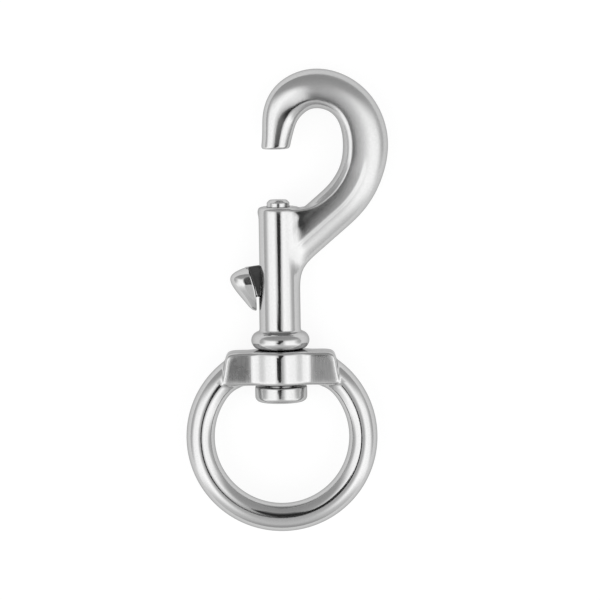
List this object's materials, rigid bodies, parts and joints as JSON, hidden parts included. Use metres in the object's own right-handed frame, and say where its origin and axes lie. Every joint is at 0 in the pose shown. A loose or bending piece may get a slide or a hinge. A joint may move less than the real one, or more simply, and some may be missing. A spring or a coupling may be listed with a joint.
{
  "type": "swivel snap hook",
  "caption": "Cast snap hook with a spring-loaded sliding bolt worked by a thumb lever, on a round swivelling eye.",
  "frame": {"origin": "centre of the eye ring, on the swivel axis", "axes": "+Y along the swivel axis from the eye to the hook, +Z out of the plane of the hook and eye, +X towards the hook's back"},
  "size_m": [0.0399, 0.0902, 0.0112],
  "materials": {
    "cast_steel": "polished stainless steel casting with a fine satin grain",
    "turned_steel": "turned and polished stainless steel",
    "spring_wire": "drawn stainless spring wire"
  },
  "bodies": {
    "hook": {"hook_body": "cast_steel", "swivel_pin": "turned_steel", "bolt_spring": "spring_wire"},
    "bolt": {"lock_bolt": "turned_steel", "thumb_lever": "cast_steel"},
    "eye": {"swivel_eye": "cast_steel"}
  },
  "joints": [
    {"name": "bolt_slide", "type": "slide", "parent": "hook", "child": "bolt", "axis": [0, 1, 0], "range_m": [0, 0.00975], "stiffness_N_per_m": 500, "springref_m": 0.0158, "deforming": ["bolt_spring"]},
    {"name": "eye_swivel", "type": "hinge", "parent": "hook", "child": "eye", "pos_m": [0, 0, 0], "axis": [0, 1, 0], "continuous": true}
  ]
}
